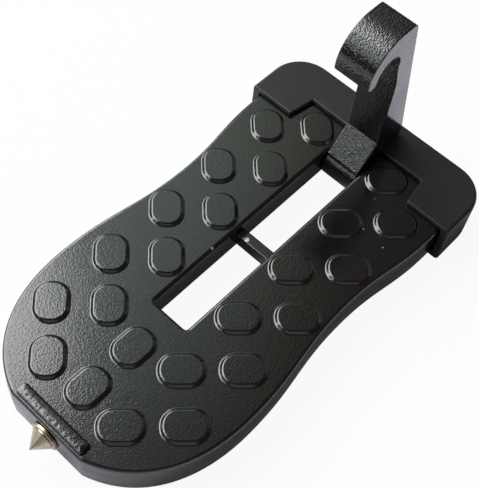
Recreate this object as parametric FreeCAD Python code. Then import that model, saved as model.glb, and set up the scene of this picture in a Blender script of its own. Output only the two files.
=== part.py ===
"""Door latch step: a cast step plate that hangs from a car door's latch striker by a folding hook.

The frame has X across the step, +Y from the toe towards the car, and +Z up.
The origin is on the ground, under the middle of the step's length.
All sizes are in millimetres.
"""
import math
import os

import FreeCAD
import Part

Vector = FreeCAD.Vector

# Step plate: outline of the casting
plate_length = 147.8          # toe wall to the casting's back wall
plate_height = 12.5           # tread face down to the foot of the rim
toe_flat_half = 13.5          # half length of the flat at the toe
toe_corner_angle = 18.0       # degrees that the side turns away from the toe flat
toe_shoulder_reach = 17.0     # how far the toe's curve keeps that direction
ball_share = 0.28             # share of the length from the toe wall to the widest place
ball_half_width = 38.4
ball_reach = 21.0             # how far the toe's curve keeps the ball's direction
waist_share = 0.585           # share of the length from the toe wall to the narrow place
waist_half_width = 34.4
heel_from_back = 21.8         # casting's back wall to where the sides run straight
heel_half_width = 38.0
side_pull = 0.45              # share of a side curve's length that keeps its ends straight
heel_corner_radius = 9.0
side_draft = 0.2              # the wall's lean each way from its parting line
tread_edge_round = 1.1

# Step plate: section under the tread
tread_skin = 4.2
rim_wall = 3.2
rib_thickness = 2.2
rib_pitch = 23.0
rib_depth = 9.7               # tread face down to the foot of ribs and slot walls

# Slot for the folded hook, with the bar that the hook comes to rest on
slot_half_width = 6.6
slot_from_toe = 47.3
slot_corner_radius = 1.0
slot_edge_round = 1.1
slot_wall = 2.8
bar_from_hinge = 42.5         # hinge axis to the bar's near side
bar_width = 3.7
bar_drop = 5.0                # tread face down to the bar's top
bar_end_round = 1.3

# Raised pads: discs with two flats
pad_diameter = 13.8
pad_across_flats = 10.7
pad_corner_round = 5.0        # where a flat meets an arc
pad_corner_share = 0.95       # most of the half width that a corner may take
pad_height = 0.95
pad_bevel = 0.85
pad_turn = 45.0               # degrees that the side pads are turned from the step's length
pad_pitch = 23.28
pad_first = 14.1              # toe wall to the first pair
pad_inner_column = 14.6
pad_outer_column = 26.9
pad_stagger = 12.25           # outer pairs ahead of the inner ones
pad_centre_pitch = 17.2
pad_centre_first = 15.7
pad_centre_count = 2
pad_margin = 0.1              # room between a pad and the bumper's edge

# Toe ridge
ridge_half_length = 13.4
ridge_width = 4.9
ridge_height = 1.6
ridge_bevel = 0.95

# Breaker tip: a turned cone screwed into the toe
tip_radius = 4.7
tip_cone_radius = 3.7         # at the cone's foot
tip_collar = 1.0
tip_cone_length = 4.9
tip_point_radius = 0.15
tip_shank_radius = 2.5
tip_shank_length = 8.0
tip_drop = 6.2                # tread face down to the tip's axis
tip_boss_wall = 2.6
tip_fit = 0.02

# Rubber bumper: a cap on the casting's back end
bumper_skin = 1.9             # rubber above the tread and below the rim
bumper_side_wall = 3.0
bumper_back_wall = 3.6
bumper_reach = 20.0           # casting's back wall to the front of the cap's sides
bumper_corner_radius = 12.0
bumper_edge_round = 1.2
bumper_lip_round = 0.6
bumper_fit = 0.05
notch_half_width = 22.8       # at the notch's inner edge
notch_flare = 1.6             # how much wider each side is at the front
notch_reach = 10.1            # casting's back wall to the notch's edge

# Hinge
hinge_from_back = 17.8        # casting's back wall to the hinge axis
hinge_drop = 6.0              # tread face down to the hinge axis
pin_radius = 2.5
pin_fit = 0.02
pin_running_gap = 0.05
pin_chamfer = 0.3
pin_boss_length = 8.0         # bearing length beside the slot
pin_boss_wall = 3.0
barrel_radius = 6.0
barrel_gap = 0.5              # barrel to the slot's end wall

# Hook: a slice of an extruded profile, measured from the hinge axis
hook_width = 12.4
hook_edge_round = 0.35
foot_reach = 4.2              # hinge axis to the foot's front
foot_rise = 5.7               # hinge axis up to the foot's front edge
foot_edge_round = 0.5
arm_front = 3.6               # hinge axis back to the arm's front face
foot_top_rise = 14.7          # hinge axis up to where the foot's slope meets the arm
arm_straight_rise = 42.5      # hinge axis up to where the arm leans towards the throat
arm_lean_length = 8.4         # rise of the leaning stretch
arm_bend_radius = 18.0
throat_width = 10.0
throat_front = 8.7            # hinge axis forward to the nose's inner face
throat_depth = 7.7            # leaning stretch up to the throat's top
throat_radius = 4.9
nose_thickness = 4.1
nose_drop = 7.0               # throat's top down to the nose's tip
nose_tip_radius = 1.7
crown_thickness = 7.9         # throat's top up to the hook's top
hook_outer_radius = 12.0
hook_rear_radius = 2.6
arm_top_rear = 5.8            # hinge axis back to the arm's rear at its top
arm_heel_rear = 18.3          # hinge axis back to the heel's rear
heel_radius = 2.0
heel_gap = 0.3                # heel above the rubber that it comes down on
neck_rear = 5.6               # hinge axis back to the neck below the heel
neck_radius = 0.8

# Places worked out from the sizes
step_length = tip_cone_length + tip_collar + plate_length + bumper_back_wall
toe_y = tip_cone_length + tip_collar - step_length / 2
back_y = toe_y + plate_length
rim_z = bumper_skin
tread_z = rim_z + plate_height
hinge_y = back_y - hinge_from_back
hinge_z = tread_z - hinge_drop
slot_end_y = hinge_y + barrel_radius + barrel_gap
slot_start_y = toe_y + slot_from_toe
rib_foot_z = tread_z - rib_depth
notch_y = back_y - notch_reach
bumper_front_y = back_y - bumper_reach
over = 1.0                    # cutters run this far past what they cut
near = 1e-3                   # places closer than this are the same


def box(x0, x1, y0, y1, z0, z1):
    """Box between two corners."""
    return Part.makeBox(x1 - x0, y1 - y0, z1 - z0, Vector(x0, y0, z0))


def cylinder_x(x0, x1, y, z, radius):
    """Cylinder along X."""
    return Part.makeCylinder(radius, x1 - x0, Vector(x0, y, z), Vector(1, 0, 0))


def bezier(points):
    """Bezier edge through its end points, pulled by the points between."""
    curve = Part.BezierCurve()
    curve.setPoles(points)
    return curve.toShape()


def line(start, end):
    """Straight edge."""
    return Part.LineSegment(start, end).toShape()


def mirrored(shape):
    """Copy on the other side of the step's length."""
    return shape.mirror(Vector(0, 0, 0), Vector(1, 0, 0))


def plate_outline(inset, z):
    """Foot-shaped outline of the casting, drawn in by inset."""
    toe = toe_y + inset
    back = back_y - inset
    ball_y = toe_y + ball_share * plate_length
    waist_y = toe_y + waist_share * plate_length
    heel_y = back_y - heel_from_back
    ball_x = ball_half_width - inset
    waist_x = waist_half_width - inset
    heel_x = heel_half_width - inset
    corner = heel_corner_radius - inset
    shoulder = math.radians(toe_corner_angle)
    toe_x = toe_flat_half - inset * math.tan(shoulder / 2)
    pull_in = side_pull * (waist_y - ball_y)
    pull_out = side_pull * (heel_y - waist_y)
    toe_end = Vector(toe_x, toe, z)
    toe_pull = toe_end + Vector(math.cos(shoulder), math.sin(shoulder), 0) * toe_shoulder_reach
    ball = Vector(ball_x, ball_y, z)
    waist = Vector(waist_x, waist_y, z)
    heel = Vector(heel_x, heel_y, z)
    along = Vector(0, 1, 0)
    corner_start = Vector(heel_x, back - corner, z)
    corner_end = Vector(heel_x - corner, back, z)
    bow = corner * (1 - math.sqrt(0.5))
    corner_middle = Vector(heel_x - bow, back - bow, z)
    right = [
        bezier([toe_end, toe_pull, ball - along * ball_reach, ball]),
        bezier([ball, ball + along * pull_in, waist - along * pull_in, waist]),
        bezier([waist, waist + along * pull_out, heel - along * pull_out, heel]),
        line(heel, corner_start),
        Part.Arc(corner_start, corner_middle, corner_end).toShape(),
    ]
    left = [mirrored(edge) for edge in right]
    toe_flat = line(Vector(-toe_x, toe, z), toe_end)
    back_flat = line(corner_end, Vector(-corner_end.x, back, z))
    edges = [toe_flat] + right + [back_flat] + left
    return Part.Wire(Part.__sortEdges__(edges))


def outline_prism(inset, z0, z1):
    """Straight-walled block of the plate's outline."""
    return Part.Face(plate_outline(inset, z0)).extrude(Vector(0, 0, z1 - z0))


def edges_at(shape, test):
    """Edges whose middle passes the test."""
    return [edge for edge in shape.Edges if test(edge.CenterOfMass)]


def plate_body():
    """Block of the casting, with draft both ways from its parting line and a rounded tread edge."""
    parting_z = (rim_z + tread_z) / 2
    foot = plate_outline(side_draft, rim_z)
    parting = plate_outline(0, parting_z)
    tread = plate_outline(side_draft, tread_z)
    lower = Part.makeLoft([foot, parting], True, True)
    upper = Part.makeLoft([parting, tread], True, True)
    rim_edges = edges_at(upper, lambda c: abs(c.z - tread_z) < near)
    return lower.fuse(upper.makeFillet(tread_edge_round, rim_edges))


def slot_prism(margin, z0, z1):
    """Block of the slot's plan, grown by margin, with rounded corners."""
    block = box(-slot_half_width - margin, slot_half_width + margin,
                slot_start_y - margin, slot_end_y + margin, z0, z1)
    middle_z = (z0 + z1) / 2
    upright = edges_at(block, lambda c: abs(c.z - middle_z) < near)
    return block.makeFillet(slot_corner_radius + margin / 2, upright)


def pin_boss(side):
    """Cast boss beside the slot that the hinge pin is driven into."""
    radius = pin_radius + pin_boss_wall
    inner = slot_half_width
    outer = slot_half_width + slot_wall + pin_boss_length
    x0, x1 = sorted((side * inner, side * outer))
    barrel = cylinder_x(x0, x1, hinge_y, hinge_z, radius)
    return barrel.fuse(box(x0, x1, hinge_y - radius, hinge_y + radius, hinge_z, tread_z - tread_skin))


def tip_boss():
    """Cast boss behind the toe wall that the breaker tip screws into."""
    radius = tip_shank_radius + tip_boss_wall
    length = tip_shank_length + tip_boss_wall
    z = tread_z - tip_drop
    barrel = Part.makeCylinder(radius, length, Vector(0, toe_y + rim_wall / 2, z), Vector(0, 1, 0))
    y0 = toe_y + rim_wall / 2
    return barrel.fuse(box(-radius, radius, y0, y0 + length, z, tread_z - tread_skin))


def ribs():
    """Cross ribs under the tread, evenly spaced from the toe to the hinge bosses."""
    reach = ball_half_width + heel_half_width
    room = hinge_y - toe_y - rib_pitch / 2
    count = int(room / rib_pitch)
    plates = []
    for index in range(count):
        y = toe_y + rib_pitch * (index + 1)
        plates.append(box(-reach, reach, y - rib_thickness / 2, y + rib_thickness / 2, rib_foot_z, tread_z))
    return plates


def underside_hollow():
    """Space under the tread, between the rim, the slot's walls, the ribs and the bosses."""
    ceiling_z = tread_z - tread_skin
    hollow = outline_prism(rim_wall, rim_z - over, ceiling_z)
    solid = [slot_prism(slot_wall, rib_foot_z, ceiling_z + over)]
    solid += ribs()
    solid += [pin_boss(-1), pin_boss(1), tip_boss()]
    return hollow.cut(solid)


def pad_ring(shrink, z):
    """Outline of a pad, drawn in by shrink: two flats and two arcs, with rounded corners."""
    full_corner = min(pad_corner_round, pad_corner_share * pad_across_flats / 2)
    corner = full_corner - shrink
    corner_x = pad_across_flats / 2 - full_corner
    core = pad_diameter / 2 - full_corner
    bend = math.acos(corner_x / core)
    corner_y = core * math.sin(bend)
    flat_x = corner_x + corner
    reach = core + corner
    soft_x = corner_x + corner * math.cos(bend / 2)
    soft_y = corner_y + corner * math.sin(bend / 2)
    arc_x = reach * math.cos(bend)
    arc_y = reach * math.sin(bend)
    half = [
        line(Vector(flat_x, -corner_y, z), Vector(flat_x, corner_y, z)),
        Part.Arc(Vector(flat_x, corner_y, z), Vector(soft_x, soft_y, z), Vector(arc_x, arc_y, z)).toShape(),
        Part.Arc(Vector(arc_x, arc_y, z), Vector(0, reach, z), Vector(-arc_x, arc_y, z)).toShape(),
        Part.Arc(Vector(-arc_x, arc_y, z), Vector(-soft_x, soft_y, z), Vector(-flat_x, corner_y, z)).toShape(),
    ]
    other = [edge.copy() for edge in half]
    for edge in other:
        edge.rotate(Vector(0, 0, 0), Vector(0, 0, 1), 180)
    return Part.Wire(Part.__sortEdges__(half + other))


def pad(x, y, turn):
    """Raised pad: a disc with two flats and a bevel all round."""
    foot = Part.Face(pad_ring(0, tread_z - pad_height)).extrude(Vector(0, 0, pad_height))
    crown = Part.makeLoft([pad_ring(0, tread_z), pad_ring(pad_bevel, tread_z + pad_height)], True, True)
    shape = foot.fuse(crown).removeSplitter()
    shape.rotate(Vector(0, 0, 0), Vector(0, 0, 1), turn)
    shape.translate(Vector(x, y, 0))
    return shape


def pads():
    """All the pads: mirrored pairs in two columns a side, and single ones along the middle of the toe."""
    reach = pad_diameter / 2 + pad_margin
    inner_first = toe_y + pad_first
    outer_first = inner_first + pad_stagger
    inner_count = int((notch_y - reach - inner_first) / pad_pitch) + 1
    outer_count = int((bumper_front_y - reach - outer_first) / pad_pitch) + 1
    shapes = []
    for side in (-1, 1):
        for index in range(inner_count):
            shapes.append(pad(side * pad_inner_column, inner_first + index * pad_pitch, -side * pad_turn))
        for index in range(outer_count):
            shapes.append(pad(side * pad_outer_column, outer_first + index * pad_pitch, -side * pad_turn))
    for index in range(pad_centre_count):
        shapes.append(pad(0, toe_y + pad_centre_first + index * pad_centre_pitch, 0))
    return shapes


def toe_ridge():
    """Low bar across the toe, flush with the toe wall, with bevelled edges."""
    y0 = toe_y + side_draft
    y1 = y0 + ridge_width
    sunk_z = tread_z - tread_edge_round
    crown_z = tread_z + ridge_height

    def ring(shrink, z):
        half = ridge_half_length - shrink
        corners = [Vector(-half, y0 + shrink, z), Vector(half, y0 + shrink, z),
                   Vector(half, y1 - shrink, z), Vector(-half, y1 - shrink, z)]
        return Part.makePolygon(corners + corners[:1])

    base = box(-ridge_half_length, ridge_half_length, y0, y1, sunk_z, tread_z + ridge_height - ridge_bevel)
    bevel = Part.makeLoft([ring(0, crown_z - ridge_bevel), ring(ridge_bevel, crown_z)], True, True)
    return base.fuse(bevel)


def rest_bar():
    """Bar across the slot, low enough for the folded hook to lie on it."""
    y1 = hinge_y - bar_from_hinge
    reach = slot_half_width + slot_wall / 2
    return box(-reach, reach, y1 - bar_width, y1, rib_foot_z, tread_z - bar_drop)


def step_plate():
    """The casting: tread, rim, ribs, slot, rest bar, bosses, pads and toe ridge in one piece."""
    plate = plate_body().cut(underside_hollow())
    plate = plate.cut(slot_prism(0, rim_z - over, tread_z + over))

    def on_slot_edge(c):
        across = abs(c.x) < slot_half_width + near
        along = slot_start_y - near < c.y < slot_end_y + near
        return across and along and abs(c.z - tread_z) < near

    plate = plate.makeFillet(slot_edge_round, edges_at(plate, on_slot_edge))
    plate = plate.fuse(rest_bar())
    bar_top_z = tread_z - bar_drop
    bar_middle_y = hinge_y - bar_from_hinge - bar_width / 2

    def on_bar_end(c):
        at_wall = abs(abs(c.x) - slot_half_width) < near
        return at_wall and abs(c.y - bar_middle_y) < near and abs(c.z - bar_top_z) < near

    plate = plate.makeFillet(bar_end_round, edges_at(plate, on_bar_end))
    plate = plate.fuse([toe_ridge()] + pads())
    bore_end = slot_half_width + slot_wall + pin_boss_length
    bore = cylinder_x(-bore_end, heel_half_width + over, hinge_y, hinge_z, pin_radius + pin_fit)
    return plate.cut([bore, tip_socket()]).removeSplitter()


def tip_socket():
    """Bore for the breaker tip's shank, with a spot face for its collar."""
    start = Vector(0, toe_y - over, tread_z - tip_drop)
    inward = Vector(0, 1, 0)
    bore = Part.makeCylinder(tip_shank_radius + tip_fit, tip_shank_length + over, start, inward)
    spot_face = Part.makeCylinder(tip_radius + tip_fit, over + side_draft, start, inward)
    return bore.fuse(spot_face)


def breaker_tip():
    """Turned tip: shank, collar and hard cone, on the toe wall's axis."""
    seat = side_draft
    points = [
        Vector(0, tip_shank_length, 0),
        Vector(tip_shank_radius, tip_shank_length, 0),
        Vector(tip_shank_radius, seat, 0),
        Vector(tip_radius, seat, 0),
        Vector(tip_radius, -tip_collar, 0),
        Vector(tip_cone_radius, -tip_collar, 0),
        Vector(tip_point_radius, -tip_collar - tip_cone_length, 0),
        Vector(0, -tip_collar - tip_cone_length, 0),
    ]
    profile = Part.Face(Part.makePolygon(points + points[:1]))
    shape = profile.revolve(Vector(0, 0, 0), Vector(0, 1, 0), 360)
    shape.translate(Vector(0, toe_y, tread_z - tip_drop))
    return shape


def bumper_block():
    """Outer form of the bumper with rounded corners and edges, reaching past its own front."""
    half = heel_half_width + bumper_side_wall
    y0 = bumper_front_y - bumper_corner_radius
    y1 = back_y + bumper_back_wall
    block = box(-half, half, y0, y1, 0, plate_height + 2 * bumper_skin)
    corners = edges_at(block, lambda c: abs(c.y - y1) < near and abs(abs(c.x) - half) < near)
    block = block.makeFillet(bumper_corner_radius, corners)
    top_z = plate_height + 2 * bumper_skin

    def on_rim(c):
        level = abs(c.z) < near or abs(c.z - top_z) < near
        return level and c.y > y0 + near

    return block.makeFillet(bumper_edge_round, edges_at(block, on_rim))


def notch():
    """Cutter for the bumper's notch, flaring towards the toe."""
    y0 = bumper_front_y - over
    flare = notch_flare * (notch_y - y0) / (notch_y - bumper_front_y)
    inner = notch_half_width
    outer = notch_half_width + flare
    corners = [Vector(-inner, notch_y, -over), Vector(inner, notch_y, -over),
               Vector(outer, y0, -over), Vector(-outer, y0, -over)]
    face = Part.Face(Part.makePolygon(corners + corners[:1]))
    return face.extrude(Vector(0, 0, plate_height + 2 * bumper_skin + 2 * over))


def bumper():
    """Rubber cap on the casting's back end, notched above and below for the hook and the last pads."""
    top_z = plate_height + 2 * bumper_skin
    half = heel_half_width + bumper_side_wall + over
    cap = bumper_block()
    cap = cap.cut(box(-half, half, toe_y, bumper_front_y, -over, top_z + over))
    cap = cap.cut(notch())
    notch_side = notch_half_width + notch_flare / 2

    def on_lip(c):
        level = abs(c.z) < near or abs(c.z - top_z) < near
        front = abs(c.y - bumper_front_y) < near or abs(c.y - notch_y) < near
        side = abs(abs(c.x) - notch_side) < near
        return level and (front or side)

    cap = cap.makeFillet(bumper_lip_round, edges_at(cap, on_lip))
    return cap.cut(outline_prism(-bumper_fit, rim_z - bumper_fit, tread_z + bumper_fit))


def rounded_corner(before, here, after):
    """Start, middle and end of the arc that rounds one corner; without a radius all three are the corner."""
    point = Vector(0, here[0], here[1])
    radius = here[2]
    if radius == 0:
        return point, point, point
    to_before = (Vector(0, before[0], before[1]) - point).normalize()
    to_after = (Vector(0, after[0], after[1]) - point).normalize()
    half_angle = to_before.getAngle(to_after) / 2
    setback = radius / math.tan(half_angle)
    inward = (to_before + to_after).normalize()
    middle = point + inward * (radius / math.sin(half_angle) - radius)
    return point + to_before * setback, middle, point + to_after * setback


def rounded_face(corners):
    """Face in the YZ plane from (y, z, radius) corners, each rounded to its radius."""
    count = len(corners)
    arcs = []
    for index in range(count):
        arcs.append(rounded_corner(corners[index - 1], corners[index], corners[(index + 1) % count]))
    edges = []
    for index in range(count):
        start, middle, end = arcs[index]
        if start != end:
            edges.append(Part.Arc(start, middle, end).toShape())
        edges.append(line(end, arcs[(index + 1) % count][0]))
    return Part.Face(Part.Wire(edges))


def hook():
    """Folding hook: barrel, sloping foot, tapered arm with its heel, throat and nose, sawn to width."""
    heel_rise = tread_z + bumper_skin + heel_gap - hinge_z
    nose_front = throat_front + nose_thickness
    arm_throat = throat_width - throat_front
    arm_lean_rise = arm_straight_rise + arm_lean_length
    throat_top_rise = arm_lean_rise + throat_depth
    nose_tip_rise = throat_top_rise - nose_drop
    hook_top_rise = throat_top_rise + crown_thickness
    corners = [
        (-foot_reach, 0, 0),
        (neck_rear, 0, 0),
        (neck_rear, heel_rise, neck_radius),
        (arm_heel_rear, heel_rise, heel_radius),
        (arm_top_rear, hook_top_rise, hook_rear_radius),
        (-nose_front, hook_top_rise, hook_outer_radius),
        (-nose_front, nose_tip_rise, nose_tip_radius),
        (-throat_front, nose_tip_rise, nose_tip_radius),
        (-throat_front, throat_top_rise, throat_radius),
        (arm_throat, throat_top_rise, throat_radius),
        (arm_throat, arm_lean_rise, arm_bend_radius),
        (arm_front, arm_straight_rise, arm_bend_radius),
        (arm_front, foot_top_rise, foot_edge_round),
        (-foot_reach, foot_rise, foot_edge_round),
    ]
    half = hook_width / 2
    blade = rounded_face(corners).extrude(Vector(hook_width, 0, 0))
    blade.translate(Vector(-half, 0, 0))
    shape = blade.fuse(cylinder_x(-half, half, 0, 0, barrel_radius)).removeSplitter()
    shape = shape.makeFillet(hook_edge_round, edges_at(shape, lambda c: abs(abs(c.x) - half) < near))
    shape = shape.cut(cylinder_x(-half - over, half + over, 0, 0, pin_radius + pin_running_gap))
    shape.translate(Vector(0, hinge_y, hinge_z))
    return shape


def hinge_pin():
    """Plain steel pin through the bosses and the hook's barrel."""
    half = slot_half_width + slot_wall + pin_boss_length
    shape = cylinder_x(-half, half, hinge_y, hinge_z, pin_radius)
    ends = edges_at(shape, lambda c: abs(abs(c.x) - half) < near)
    return shape.makeChamfer(pin_chamfer, ends)


def main():
    """Build each piece and write it to its own file."""
    os.makedirs("parts", exist_ok=True)
    pieces = {
        "step_plate": step_plate(),
        "breaker_tip": breaker_tip(),
        "bumper": bumper(),
        "hook": hook(),
        "hinge_pin": hinge_pin(),
    }
    for name, shape in pieces.items():
        shape.exportStep("parts/" + name + ".step")
        print(name, "valid", shape.isValid(), "solids", len(shape.Solids), "volume %.0f" % shape.Volume)


main()
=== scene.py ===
"""Looks of a folding step for a car door's latch striker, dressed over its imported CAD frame.

The file is laid out as an add-on: sizes and colours are properties, each piece has an operator, and one
panel lists them. Everything is in metres, in the frame of the CAD model: +Y runs from the toe to the bumper
and +Z up.
"""

import math

import bmesh
import bpy
from bpy.props import FloatProperty, FloatVectorProperty, IntProperty, PointerProperty
from bpy.types import Operator, Panel, PropertyGroup
from mathutils import Matrix, Vector
from mathutils.geometry import interpolate_bezier


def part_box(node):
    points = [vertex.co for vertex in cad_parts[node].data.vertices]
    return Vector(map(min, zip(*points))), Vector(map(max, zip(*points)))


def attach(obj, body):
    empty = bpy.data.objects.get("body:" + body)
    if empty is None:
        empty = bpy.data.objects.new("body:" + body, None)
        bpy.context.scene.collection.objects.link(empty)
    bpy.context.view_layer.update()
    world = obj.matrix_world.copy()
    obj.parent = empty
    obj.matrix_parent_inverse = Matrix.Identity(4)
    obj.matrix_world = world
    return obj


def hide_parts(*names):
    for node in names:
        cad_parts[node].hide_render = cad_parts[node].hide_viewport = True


bl_info = {
    "name": "Door latch step",
    "version": (1, 0, 0),
    "blender": (4, 5, 0),
    "location": "3D View > Sidebar > Latch step",
    "description": "Folding step for a door's latch striker, with its pads, hook, bumper and tip",
    "category": "Object",
}

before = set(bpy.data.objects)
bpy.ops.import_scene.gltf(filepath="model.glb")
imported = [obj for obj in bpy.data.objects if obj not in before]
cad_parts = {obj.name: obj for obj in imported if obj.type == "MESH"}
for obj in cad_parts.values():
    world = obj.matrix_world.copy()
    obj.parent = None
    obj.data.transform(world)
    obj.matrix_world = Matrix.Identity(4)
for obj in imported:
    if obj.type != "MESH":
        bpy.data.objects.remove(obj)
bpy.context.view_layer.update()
MM = 0.001

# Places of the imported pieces
plate_low, plate_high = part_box("step_plate")
pin_low, pin_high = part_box("hinge_pin")
bumper_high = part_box("bumper")[1]
tip_low, tip_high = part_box("breaker_tip")
TOE_Y = plate_low.y
BACK_Y = plate_high.y
RIM_Z = plate_low.z
HINGE = (pin_low + pin_high) / 2
TIP_AXIS_Z = (tip_low.z + tip_high.z) / 2


# Properties

def length(name, about, millimetres):
    """Property for a length, with its default in millimetres."""
    metres = millimetres * MM
    return FloatProperty(name=name, description=about, default=metres, precision=5, subtype="DISTANCE")


def angle(name, about, degrees):
    """Property for an angle, with its default in degrees."""
    return FloatProperty(name=name, description=about, default=math.radians(degrees), subtype="ANGLE")


def share(name, about, value):
    """Property for a part of a whole."""
    return FloatProperty(name=name, description=about, default=value, min=0.0, max=1.0, subtype="FACTOR")


def number(name, about, value):
    """Property for a count."""
    return IntProperty(name=name, description=about, default=value, min=1)


def colour(name, about, value):
    """Property for a colour."""
    return FloatVectorProperty(name=name, description=about, default=value, min=0.0, max=1.0, subtype="COLOR")


class PlateSizes(PropertyGroup):
    """Sizes of the casting."""
    height: length("Height", "Tread face down to the foot of the rim", 12.5)
    toe_flat_half: length("Toe flat", "Half length of the flat at the toe", 13.5)
    toe_corner: angle("Toe corner", "How far the side turns away from the toe flat", 18.0)
    toe_reach: length("Toe reach", "How far the toe's curve keeps that direction", 17.0)
    ball_half: length("Ball", "Half width at the widest place", 38.4)
    ball_share: share("Ball place", "Share of the length from the toe to the widest place", 0.28)
    ball_reach: length("Ball reach", "How far the toe's curve keeps the ball's direction", 21.0)
    waist_half: length("Waist", "Half width at the narrow place", 34.4)
    waist_share: share("Waist place", "Share of the length from the toe to the narrow place", 0.585)
    heel_half: length("Heel", "Half width at the bumper", 38.0)
    heel_from_back: length("Heel place", "Back wall to where the sides run straight", 21.8)
    heel_corner: length("Heel corner", "Radius of the back corners", 9.0)
    side_pull: share("Side pull", "Share of a side curve that keeps its ends straight", 0.45)
    draft: length("Draft", "Lean of the wall each way from its parting line", 0.2)
    tread_round: length("Tread round", "Radius along the tread's edge", 1.1)
    foot_round: length("Foot round", "Radius along the foot of the rim", 0.45)
    flash: length("Flash", "How far the parting line stands out", 0.03)
    tread_skin: length("Tread skin", "Thickness of the tread", 4.2)
    rim_wall: length("Rim wall", "Thickness of the rim", 3.2)
    rib_thickness: length("Rib", "Thickness of a rib", 2.2)
    rib_pitch: length("Rib pitch", "Distance between ribs", 23.0)
    rib_depth: length("Rib depth", "Tread face down to the foot of the ribs", 9.7)
    slot_half: length("Slot", "Half width of the slot", 6.6)
    slot_from_toe: length("Slot place", "Toe wall to the slot", 47.3)
    slot_end: length("Slot end", "Hinge axis to the slot's end wall", 6.5)
    slot_corner: length("Slot corner", "Radius of the slot's corners", 1.0)
    slot_round: length("Slot round", "Radius along the slot's edge", 1.1)
    slot_wall: length("Slot wall", "Thickness of the walls beside the slot", 2.8)
    bar_from_hinge: length("Bar place", "Hinge axis to the bar across the slot", 42.5)
    bar_width: length("Bar", "Width of the bar", 3.7)
    bar_drop: length("Bar drop", "Tread face down to the bar", 5.0)
    bar_end_round: length("Bar end", "Hollow radius where the bar meets the slot's walls", 1.3)
    bar_edge_round: length("Bar edge", "Radius along the bar's top edges", 0.6)
    boss_length: length("Boss", "Length of a pin boss beside the slot's wall", 8.0)
    boss_wall: length("Boss wall", "Wall of a boss round its bore", 3.0)
    bore_fit: length("Bore fit", "Room round a pressed pin", 0.02)
    tip_boss_radius: length("Tip boss", "Radius of the boss behind the breaker tip", 5.1)
    tip_boss_length: length("Tip boss length", "Length of that boss", 10.6)
    ridge_half: length("Ridge", "Half length of the toe ridge", 13.4)
    ridge_width: length("Ridge width", "Width of the toe ridge", 4.9)
    ridge_height: length("Ridge height", "Toe ridge above the tread", 1.6)
    ridge_bevel: length("Ridge bevel", "Bevel along the toe ridge", 0.95)
    ridge_round: length("Ridge round", "Radius round the toe ridge's crown", 0.5)
    ridge_dome: length("Ridge dome", "How far the ridge's crown swells", 0.12)
    ridge_setback: length("Ridge place", "Toe wall to the ridge's front", 0.8)


class PadSizes(PropertyGroup):
    """Sizes and places of the raised pads."""
    diameter: length("Diameter", "Width of a pad along its flats", 13.8)
    across_flats: length("Across flats", "Width of a pad between its flats", 10.7)
    height: length("Height", "Crown above the tread", 0.95)
    bevel: length("Bevel", "Width of the bevel round the crown", 0.85)
    foot_round: length("Foot round", "Hollow radius at the foot", 0.75)
    crown_round: length("Crown round", "Radius round the crown", 0.75)
    corner_round: length("Corner round", "Radius where flats meet arcs", 5.0)
    turn: angle("Turn", "Turn of the side pads from the step's length", 45.0)
    pitch: length("Pitch", "Distance between pads of a column", 23.28)
    first: length("First", "Toe wall to the first inner pair", 14.1)
    stagger: length("Stagger", "Outer pairs ahead of inner ones", 12.25)
    inner: length("Inner column", "Middle of the step to the inner columns", 14.6)
    outer: length("Outer column", "Middle of the step to the outer columns", 26.9)
    inner_count: number("Inner count", "Pads in an inner column", 6)
    outer_count: number("Outer count", "Pads in an outer column", 5)
    centre_first: length("Centre first", "Toe wall to the first middle pad", 15.7)
    centre_pitch: length("Centre pitch", "Distance between middle pads", 17.2)
    centre_count: number("Centre count", "Pads along the middle", 2)


class HookSizes(PropertyGroup):
    """Sizes of the hook's profile, measured from the hinge axis."""
    width: length("Width", "Width of the slice", 12.4)
    edge_round: length("Edge round", "Radius along the sawn edges", 0.35)
    barrel: length("Barrel", "Radius of the barrel", 6.0)
    bore: length("Bore", "Radius of the bore in the barrel", 2.55)
    foot_reach: length("Foot reach", "Foot in front of the axis", 4.2)
    foot_rise: length("Foot rise", "Foot's front edge above the axis", 5.7)
    foot_round: length("Foot round", "Radius of the foot's edges", 0.5)
    arm_front: length("Arm front", "Arm's front face behind the axis", 3.6)
    foot_top: length("Foot top", "Where the foot's slope meets the arm", 14.7)
    arm_straight: length("Arm straight", "Where the arm starts to lean", 42.5)
    arm_lean: length("Arm lean", "Where the arm meets the throat", 50.9)
    arm_bend: length("Arm bend", "Radius of the arm's bends", 18.0)
    throat_front: length("Throat front", "Nose's inner face in front of the axis", 8.7)
    throat_width: length("Throat", "Width of the throat", 10.0)
    throat_top: length("Throat top", "Throat's top above the axis", 58.6)
    throat_radius: length("Throat radius", "Radius of the throat's corners", 4.9)
    nose: length("Nose", "Thickness of the nose", 4.1)
    nose_tip: length("Nose tip", "Nose's tip above the axis", 51.6)
    nose_radius: length("Nose radius", "Radius of the nose's tip", 1.7)
    top: length("Top", "Hook's top above the axis", 66.5)
    outer_radius: length("Outer radius", "Radius of the outer bend", 12.0)
    rear_radius: length("Rear radius", "Radius of the rear top corner", 2.6)
    top_rear: length("Top rear", "Arm's rear behind the axis at its top", 5.8)
    heel_rear: length("Heel rear", "Heel behind the axis", 18.3)
    heel_rise: length("Heel rise", "Heel's underside above the axis", 8.2)
    heel_radius: length("Heel radius", "Radius of the heel", 2.0)
    neck_rear: length("Neck", "Neck behind the axis", 5.6)
    neck_radius: length("Neck radius", "Hollow radius under the heel", 0.8)


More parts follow.
